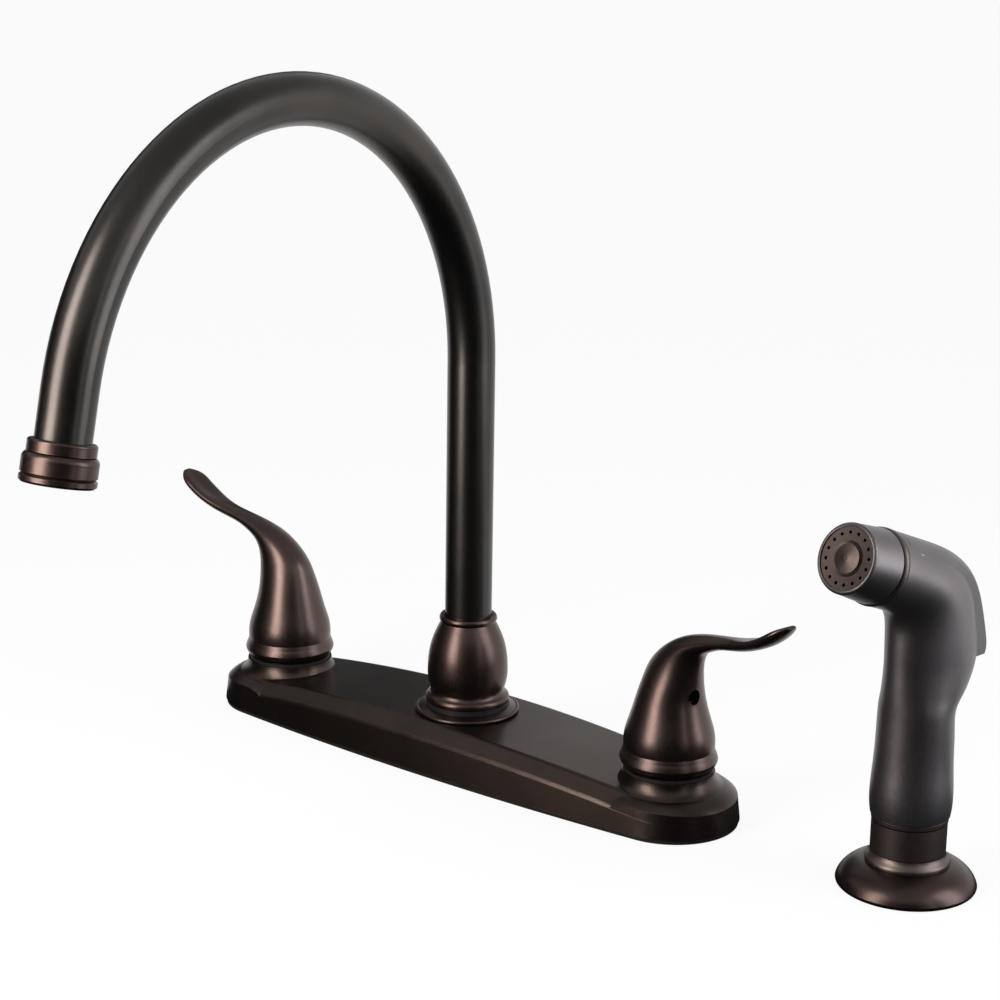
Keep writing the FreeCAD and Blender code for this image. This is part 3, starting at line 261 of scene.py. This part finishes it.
def rubbed_bronze(name, dark, light, rubbed, rough):
    """Oil-rubbed bronze: stain, cloudy tone, rubbed edges and a satin skin."""
    made, nodes, links, skin = new_finish(name)
    skin.inputs["Metallic"].default_value = 1.0
    tone = blended(nodes, links, between(nodes, links, cloud(nodes, links, 38.0), 0.0, 1.0, 0.32, 0.68),
                   dark, light)
    fine = cloud(nodes, links, 900.0, 3.0)
    wear = nodes.new("ShaderNodeMath")
    wear.operation = "MULTIPLY"
    links.new(worn_edges(nodes, links, 0.0005), wear.inputs[0])
    links.new(between(nodes, links, cloud(nodes, links, 260.0), 0.0, 0.75, 0.38, 0.66), wear.inputs[1])
    links.new(blended(nodes, links, wear.outputs[0], tone, rubbed), skin.inputs["Base Color"])
    links.new(between(nodes, links, fine, rough - 0.025, rough + 0.035, 0.3, 0.7), skin.inputs["Roughness"])
    grained(nodes, links, skin, fine, 0.00002, 0.12)
    return made


def dress(node, finish):
    """Give a node of the frame its finish."""
    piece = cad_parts[node]
    piece.data.materials.clear()
    piece.data.materials.append(finish)


RUBBED_COPPER = (0.26, 0.15, 0.11)
plate_bronze = rubbed_bronze("plate_bronze", (0.052, 0.040, 0.034), (0.070, 0.052, 0.045),
                             RUBBED_COPPER, 0.33)
dress("deck_plate", plate_bronze)


# ---------------------------------------------------------------------------
# Gasket and seal rings: black moulded rubber. The gasket lies under the plate
# and shows as a thin dark line on the deck; a ring is squeezed between each
# collar and its handle, and one under the hub.
# ---------------------------------------------------------------------------
def moulded_rubber(name, shade, rough):
    made, nodes, links, skin = new_finish(name)
    skin.inputs["Specular IOR Level"].default_value = 0.3
    lighter = tuple(1.5 * c for c in shade)
    links.new(blended(nodes, links, cloud(nodes, links, 220.0), shade, lighter), skin.inputs["Base Color"])
    fine = cloud(nodes, links, 2600.0, 2.0)
    links.new(between(nodes, links, fine, rough, rough + 0.12), skin.inputs["Roughness"])
    grained(nodes, links, skin, fine, 0.00004, 0.35)
    return made


seal_rubber = moulded_rubber("seal_rubber", (0.006, 0.006, 0.006), 0.42)
for node in ("base_gasket", "hub_seal_ring", "hot_seal_ring", "cold_seal_ring", "spout_o_rings",
             "aerator_washer", "head_seal"):
    dress(node, seal_rubber)


# ---------------------------------------------------------------------------
# Brass waterway under the plate: one sand-cast body with two valve towers and
# the spout's post, dull where it is cast, brighter where a tool has cut it.
# Cartridge nuts and stems are turned from brass bar.
# ---------------------------------------------------------------------------
def brass(name, shade, rough, grain, depth):
    """Brass with a dull cloudy tarnish; grain is spots per metre."""
    made, nodes, links, skin = new_finish(name)
    skin.inputs["Metallic"].default_value = 1.0
    dull = tuple(0.72 * c for c in shade)
    links.new(blended(nodes, links, between(nodes, links, cloud(nodes, links, 110.0), 0.0, 1.0, 0.35, 0.65),
                      dull, shade), skin.inputs["Base Color"])
    fine = cloud(nodes, links, grain)
    links.new(between(nodes, links, fine, rough - 0.06, rough + 0.08, 0.3, 0.7), skin.inputs["Roughness"])
    grained(nodes, links, skin, fine, depth, 0.5)
    return made


cast_brass = brass("cast_brass", (0.58, 0.41, 0.20), 0.55, 1300.0, 0.00009)
turned_brass = brass("turned_brass", (0.70, 0.51, 0.24), 0.28, 2400.0, 0.00002)
dress("valve_body", cast_brass)
for node in ("hot_bonnet_nut", "cold_bonnet_nut", "hot_stem", "cold_stem", "spout_stem"):
    dress(node, turned_brass)


# ---------------------------------------------------------------------------
# Threaded ends: the two inlet shanks and the spray hose's outlet are brass,
# the hose nipple under the sprayer too. Each has its straight pipe thread cut
# along it; a groove parts the inlets' deck thread from the supply line's.
# ---------------------------------------------------------------------------
RUN_OUT = 0.9           # how deep the cut stays, as a share of its depth, where a thread ends


def threaded_tube(name, x, y, bore, sections, pitch, depth, ribs=48):
    """Tube along Z with a helical thread. A section is (low, high, outer radius, threaded)."""
    around = [(j / ribs, math.cos(2 * math.pi * j / ribs), math.sin(2 * math.pi * j / ribs))
              for j in range(ribs)]
    rings = []
    for low, high, radius, threaded in sections:
        steps = max(1, round((high - low) / (pitch / 6))) if threaded else int(high > low)
        rings += [(low + (high - low) * i / max(1, steps), radius, threaded, low, high)
                  for i in range(steps + 1)]
    points, faces = [], []
    for z, radius, threaded, low, high in rings:
        for turn, across, along in around:
            r = radius
            if threaded:
                wave = abs(((z / pitch - turn) % 1.0) * 2 - 1)
                flank = min(1.0, max(0.0, (wave - 0.12) / 0.76))
                ease = max(0.0, min(1.0, (z - low) / pitch, (high - z) / pitch))
                r -= depth * (flank * ease + RUN_OUT * (1 - ease))
            points.append((x + r * across, y + r * along, z))
    for z in (rings[-1][0], rings[0][0]):
        points += [(x + bore * across, y + bore * along, z) for turn, across, along in around]
    rows = len(rings) + 2
    for i in range(rows):
        here, after = i * ribs, (i + 1) % rows * ribs
        faces += [(here + j, here + (j + 1) % ribs, after + (j + 1) % ribs, after + j) for j in range(ribs)]
    mesh = bpy.data.meshes.new(name)
    mesh.from_pydata(points, [], faces)
    mesh.validate()
    mesh.update()
    mesh.shade_smooth()
    mesh.set_sharp_from_angle(angle=math.radians(35))
    tube = bpy.data.objects.new(name, mesh)
    scene.collection.objects.link(tube)
    return tube


MM = 0.001
INLET_X = 101.6 * MM                # half of the 8 inch spacing
SPRAY_X, SPRAY_Y = 203.5 * MM, 7 * MM
HALF_INCH_PITCH, QUARTER_INCH_PITCH = 1.814 * MM, 1.411 * MM
for side, x in (("hot", -INLET_X), ("cold", INLET_X)):
    shank = threaded_tube(side + "_threaded_inlet", x, 0, 6.3 * MM,
                          [(-50 * MM, -32 * MM, 10.45 * MM, True), (-32 * MM, -30.8 * MM, 9.65 * MM, False),
                           (-30.8 * MM, -1.6 * MM, 10.45 * MM, True), (-1.6 * MM, 2 * MM, 10.45 * MM, False)],
                          HALF_INCH_PITCH, 0.8 * MM)
    shank.data.materials.append(turned_brass)
    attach(shank, "base")
    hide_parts(side + "_inlet_shank")

outlet = threaded_tube("spray_outlet_thread", 0, 0, 3.6 * MM,
                       [(-42 * MM, -24 * MM, 6.6 * MM, True), (-24 * MM, 2 * MM, 5.8 * MM, False)],
                       QUARTER_INCH_PITCH, 0.6 * MM, 36)
outlet.data.materials.append(turned_brass)
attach(outlet, "base")
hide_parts("spray_outlet_nipple")

nipple_low, nipple_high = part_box("hose_nipple")
nipple = threaded_tube("hose_nipple_thread", SPRAY_X, SPRAY_Y, 4.0 * MM,
                       [(nipple_low.z, nipple_high.z - 2 * MM, 6.6 * MM, True),
                        (nipple_high.z - 2 * MM, nipple_high.z, 6.6 * MM, False)],
                       QUARTER_INCH_PITCH, 0.6 * MM, 36)
nipple.data.materials.append(turned_brass)
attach(nipple, "sprayer")
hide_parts("hose_nipple")


# ---------------------------------------------------------------------------
# Washers, pins and screws: zinc-plated or stainless steel, pressed or turned,
# and the spray valve's spring wire. All are plain and a little dull.
# ---------------------------------------------------------------------------
def plain_steel(name, shade, rough):
    made, nodes, links, skin = new_finish(name)
    skin.inputs["Metallic"].default_value = 1.0
    duller = tuple(0.8 * c for c in shade)
    links.new(blended(nodes, links, cloud(nodes, links, 170.0), duller, shade), skin.inputs["Base Color"])
    fine = cloud(nodes, links, 1800.0)
    links.new(between(nodes, links, fine, rough - 0.05, rough + 0.08, 0.3, 0.7), skin.inputs["Roughness"])
    grained(nodes, links, skin, fine, 0.00002, 0.3)
    return made


plated_steel = plain_steel("plated_steel", (0.56, 0.57, 0.58), 0.38)
bright_steel = plain_steel("bright_steel", (0.62, 0.61, 0.60), 0.22)
black_oxide = plain_steel("black_oxide", (0.05, 0.048, 0.046), 0.4)
for node in ("hot_washer", "cold_washer", "spray_guide_washer"):
    dress(node, plated_steel)
for node in ("lever_pin", "spray_spring"):
    dress(node, bright_steel)
for node in ("hot_set_screw", "cold_set_screw"):
    dress(node, black_oxide)


# ---------------------------------------------------------------------------
# Nylon pieces: winged hand nuts under the deck, valve cartridges, the spout's
# bush, the aerator's insides, the diverter and the spray valve. All are
# moulded, milky, with a soft moulded gloss.
# ---------------------------------------------------------------------------
def moulded_nylon(name, shade, rough, glow_depth):
    made, nodes, links, skin = new_finish(name)
    skin.inputs["Subsurface Weight"].default_value = 0.15
    skin.inputs["Subsurface Scale"].default_value = glow_depth
    warmer = (shade[0], 0.97 * shade[1], 0.92 * shade[2])
    links.new(blended(nodes, links, cloud(nodes, links, 90.0), warmer, shade), skin.inputs["Base Color"])
    fine = cloud(nodes, links, 1500.0, 2.0)
    links.new(between(nodes, links, fine, rough - 0.05, rough + 0.1, 0.3, 0.7), skin.inputs["Roughness"])
    grained(nodes, links, skin, fine, 0.00003, 0.25)
    return made


white_nylon = moulded_nylon("white_nylon", (0.74, 0.73, 0.70), 0.42, 0.001)
grey_nylon = moulded_nylon("grey_nylon", (0.30, 0.30, 0.31), 0.38, 0.0005)
for node in ("hot_mounting_nut", "cold_mounting_nut", "spray_guide_nut", "spout_bush", "diverter_seat",
             "diverter_piston", "hot_cartridge", "cold_cartridge", "spray_valve_seat", "spray_plunger"):
    dress(node, white_nylon)
for node in ("aerator_insert", "aerator_screen"):
    dress(node, grey_nylon)


# ---------------------------------------------------------------------------
# Hub and flange: a vase-shaped nut turned from brass that holds the spout on
# its post, over a flat trim ring. Both have a bronze that is lighter and a
# little warmer than the plate's.
# ---------------------------------------------------------------------------
hub_bronze = rubbed_bronze("hub_bronze", (0.066, 0.047, 0.041), (0.088, 0.062, 0.055), RUBBED_COPPER, 0.33)
for node in ("spout_hub_nut", "spout_flange"):
    dress(node, hub_bronze)


# ---------------------------------------------------------------------------
# Lever handles: two zinc castings, a bell with a bead at its foot that bends
# over into a thin spoon. Their bronze is lighter and warmer than the plate's.
# ---------------------------------------------------------------------------
handle_bronze = rubbed_bronze("handle_bronze", (0.078, 0.056, 0.050), (0.102, 0.073, 0.065),
                              RUBBED_COPPER, 0.33)
for node in ("hot_handle", "cold_handle"):
    dress(node, handle_bronze)


# ---------------------------------------------------------------------------
# Spout: a bent brass tube that swivels in the hub, in a greyer, more even
# stain than the castings. A brazed ring and a turned aerator housing, both
# warmer, close its end.
# ---------------------------------------------------------------------------
RUBBED_TUBE = (0.13, 0.10, 0.085)
tube_bronze = rubbed_bronze("tube_bronze", (0.050, 0.047, 0.044), (0.066, 0.059, 0.054), RUBBED_TUBE, 0.31)
dress("spout_tube", tube_bronze)
for node in ("spout_end_collar", "aerator_housing"):
    dress(node, hub_bronze)


# ---------------------------------------------------------------------------
# Sprayer's stand: a domed trim ring on the deck, in bronze, and the guide tube
# that is dropped through it and held by a nut below. The guide is plastic with
# a bronze coat, with a coarse moulded thread under the deck.
# ---------------------------------------------------------------------------
def coated_plastic(name, dark, light, rough):
    """Plastic with a thin metallic coat: greyer than the castings and more even."""
    made, nodes, links, skin = new_finish(name)
    skin.inputs["Metallic"].default_value = 1.0
    links.new(blended(nodes, links, between(nodes, links, cloud(nodes, links, 30.0), 0.0, 1.0, 0.32, 0.68),
                      dark, light), skin.inputs["Base Color"])
    fine = cloud(nodes, links, 1100.0, 3.0)
    links.new(between(nodes, links, fine, rough - 0.02, rough + 0.04, 0.3, 0.7), skin.inputs["Roughness"])
    grained(nodes, links, skin, fine, 0.00002, 0.15)
    return made


flange_bronze = rubbed_bronze("flange_bronze", (0.058, 0.042, 0.037), (0.075, 0.054, 0.048),
                              RUBBED_COPPER, 0.33)
dress("spray_flange", flange_bronze)
sprayer_coat = coated_plastic("sprayer_coat", (0.135, 0.122, 0.124), (0.168, 0.154, 0.157), 0.40)
# trim_coat is lighter than the flange's bronze. This is partly the coat's own tone and partly painted light,
# which keeps the hose collar's upright sides brown where they mirror the dark cards.
trim_coat = coated_plastic("trim_coat", (0.115, 0.092, 0.084), (0.145, 0.116, 0.106), 0.40)

collar_low, collar_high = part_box("hose_collar")
COLLAR_R = (collar_high.x - collar_low.x) / 2
GUIDE_LIP = [(height * MM, radius * MM) for height, radius in
             ((9.2, 15.3), (9.6, 15.52), (10.2, 15.6), (10.9, 15.42), (11.4, 15.0))]
GUIDE_LIP += [(height * MM, COLLAR_R + proud * MM) for height, proud in
              ((12.2, 0.5), (12.9, 0.15), (13.6, 0))]
GUIDE_PITCH = 2.2 * MM
guide = threaded_tube("threaded_guide", SPRAY_X, SPRAY_Y, 11.3 * MM,
                      [(-45 * MM, -3 * MM, 13.5 * MM, True), (-3 * MM, 9.2 * MM, 13.5 * MM, False)]
                      + [(height, height, radius, False) for height, radius in GUIDE_LIP],
                      GUIDE_PITCH, 0.8 * MM, 72)
guide.data.materials.append(trim_coat)
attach(guide, "base")
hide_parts("spray_guide")


# ---------------------------------------------------------------------------
# Sprayer: a moulded pistol grip on a hose collar, with a turned-looking head,
# a nozzle disc and the long lever along its back.
# ---------------------------------------------------------------------------
for node in ("spray_grip", "spray_head", "spray_lever"):
    dress(node, sprayer_coat)
for node in ("hose_collar", "hose_ring", "head_ring"):
    dress(node, trim_coat)
face_coat = coated_plastic("face_coat", (0.064, 0.050, 0.045), (0.084, 0.066, 0.060), 0.38)
for node in ("spray_face", "face_button"):
    dress(node, face_coat)
